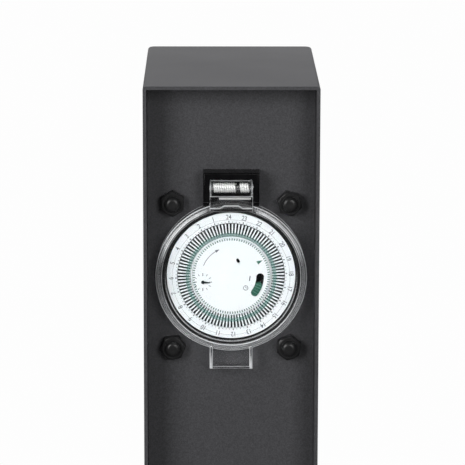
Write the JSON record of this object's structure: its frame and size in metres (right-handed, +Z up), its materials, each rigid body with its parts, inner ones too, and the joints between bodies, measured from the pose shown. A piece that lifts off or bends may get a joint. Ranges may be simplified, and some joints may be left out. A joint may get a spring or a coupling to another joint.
{
  "type": "irrigation controller",
  "caption": "Sheet-steel garden control post with a built-in mechanical 24-hour segment time switch under a clear hinged lid, for switching an irrigation pump or valve.",
  "frame": {"origin": "centre of the base plate's underside", "axes": "+Z up, front with the dial towards -Y, +X to the right seen from the front"},
  "size_m": [0.15, 0.205, 0.4],
  "materials": {
    "powder_coat": "fine-textured anthracite powder coat",
    "zinc_steel": "zinc plated",
    "spring_steel": "bright drawn wire",
    "brass": "machined",
    "black_plastic": "moulded, fine grain",
    "grey_plastic": "moulded",
    "white_plastic": "moulded",
    "tappet_white": "moulded",
    "green_plastic": "moulded",
    "dark_plastic": "moulded",
    "clear_lid": "clear polycarbonate",
    "rubber": "matt",
    "gear_plastic": "moulded acetal",
    "print_ink": "printed marks"
  },
  "bodies": {
    "post": {"post_shell": "powder_coat", "front_plate": "powder_coat", "base_plate": "powder_coat", "rear_cover": "powder_coat", "base_angles": "zinc_steel", "base_screws": "zinc_steel", "rear_cover_gasket": "rubber", "rear_cover_screws": "zinc_steel", "gland_shelf": "zinc_steel", "gland_bodies": "black_plastic", "gland_locknuts": "black_plastic", "gland_caps": "black_plastic", "gland_seals": "rubber", "terminal_rail": "zinc_steel", "terminal_blocks": "grey_plastic", "terminal_screws": "zinc_steel", "earth_stud": "brass", "timer_housing": "black_plastic", "housing_screws": "zinc_steel", "mounting_frame": "zinc_steel", "mounting_gasket": "rubber", "mounting_studs": "zinc_steel", "dome_nuts": "black_plastic", "lid_seal": "rubber", "hinge_bracket": "black_plastic", "bracket_screws": "zinc_steel", "hinge_pin": "spring_steel", "lid_spring": "spring_steel", "centre_disc": "white_plastic", "centre_boss": "black_plastic", "front_movement_plate": "dark_plastic", "rear_movement_plate": "brass", "movement_pillars": "brass", "motor_can": "zinc_steel", "microswitch": "black_plastic", "timer_terminals": "grey_plastic", "timer_terminal_screws": "zinc_steel"},
    "lid_body": {"lid": "clear_lid", "lid_spring_leg": "spring_steel"},
    "dial": {"dial_carrier": "dark_plastic", "dial_ring": "white_plastic", "green_ring": "green_plastic", "tick_ring": "white_plastic", "tappets": "tappet_white"},
    "tappet_24_body": {"tappet_24": "tappet_white"},
    "tappet_18_body": {"tappet_18": "tappet_white"},
    "tappet_12_body": {"tappet_12": "tappet_white"},
    "tappet_06_body": {"tappet_06": "tappet_white"},
    "override": {"override_slider": "green_plastic"},
    "hand": {"minute_hand": "dark_plastic", "hand_shaft": "spring_steel", "hand_pinion": "gear_plastic"},
    "idler": {"idler_pinion": "gear_plastic", "idler_wheel": "gear_plastic", "idler_shaft": "spring_steel"},
    "motor_output": {"motor_shaft": "spring_steel", "motor_pinion": "gear_plastic"},
    "lever": {"switch_lever": "gear_plastic"},
    "plunger": {"switch_plunger": "grey_plastic"}
  },
  "joints": [
    {"name": "lid_open", "type": "hinge", "parent": "post", "child": "lid_body", "pos_m": [0, -0.0645, 0.3397], "axis": [-1, 0, 0], "range_deg": [0, 100], "stiffness_Nm_per_rad": 0.02, "springref_deg": -34.38},
    {"name": "dial_turn", "type": "hinge", "parent": "post", "child": "dial", "pos_m": [0, -0.056, 0.2878], "axis": [0, 1, 0], "continuous": true},
    {"name": "idler_turn", "type": "hinge", "parent": "post", "child": "idler", "pos_m": [-0.0247, -0.05, 0.29279], "axis": [0, 1, 0], "continuous": true},
    {"name": "minute_hand_turn", "type": "hinge", "parent": "post", "child": "hand", "pos_m": [-0.01623, -0.05, 0.28429], "axis": [0, 1, 0], "continuous": true},
    {"name": "motor_turn", "type": "hinge", "parent": "post", "child": "motor_output", "pos_m": [-0.01748, -0.0446, 0.30237], "axis": [0, 1, 0], "continuous": true},
    {"name": "override_slide", "type": "hinge", "parent": "post", "child": "override", "pos_m": [0, -0.062, 0.2878], "axis": [0, 1, 0], "range_deg": [-18, 0]},
    {"name": "switch_lever_rock", "type": "hinge", "parent": "post", "child": "lever", "pos_m": [0.0245, -0.055, 0.28737], "axis": [0, -1, 0], "range_deg": [0, 4], "stiffness_Nm_per_rad": 0.02, "springref_deg": -5.73},
    {"name": "plunger_press", "type": "slide", "parent": "post", "child": "plunger", "axis": [0.9205, 0, -0.3907], "range_m": [0, 0.0008]},
    {"name": "tappet_24_set", "type": "slide", "parent": "dial", "child": "tappet_24_body", "axis": [0.0419, 0, -0.9991], "range_m": [0, 0.0009]},
    {"name": "tappet_18_set", "type": "slide", "parent": "dial", "child": "tappet_18_body", "axis": [-0.9991, 0, -0.0419], "range_m": [0, 0.0009]},
    {"name": "tappet_12_set", "type": "slide", "parent": "dial", "child": "tappet_12_body", "axis": [-0.0419, 0, 0.9991], "range_m": [0, 0.0009]},
    {"name": "tappet_06_set", "type": "slide", "parent": "dial", "child": "tappet_06_body", "axis": [0.9991, 0, 0.0419], "range_m": [0, 0.0009]}
  ],
  "couplings": [
    {"joint": "idler_turn", "follows": "dial_turn", "ratio": -6},
    {"joint": "minute_hand_turn", "follows": "dial_turn", "ratio": 24},
    {"joint": "motor_turn", "follows": "dial_turn", "ratio": 24},
    {"joint": "plunger_press", "follows": "switch_lever_rock", "m_per_rad": 0.0093}
  ]
}
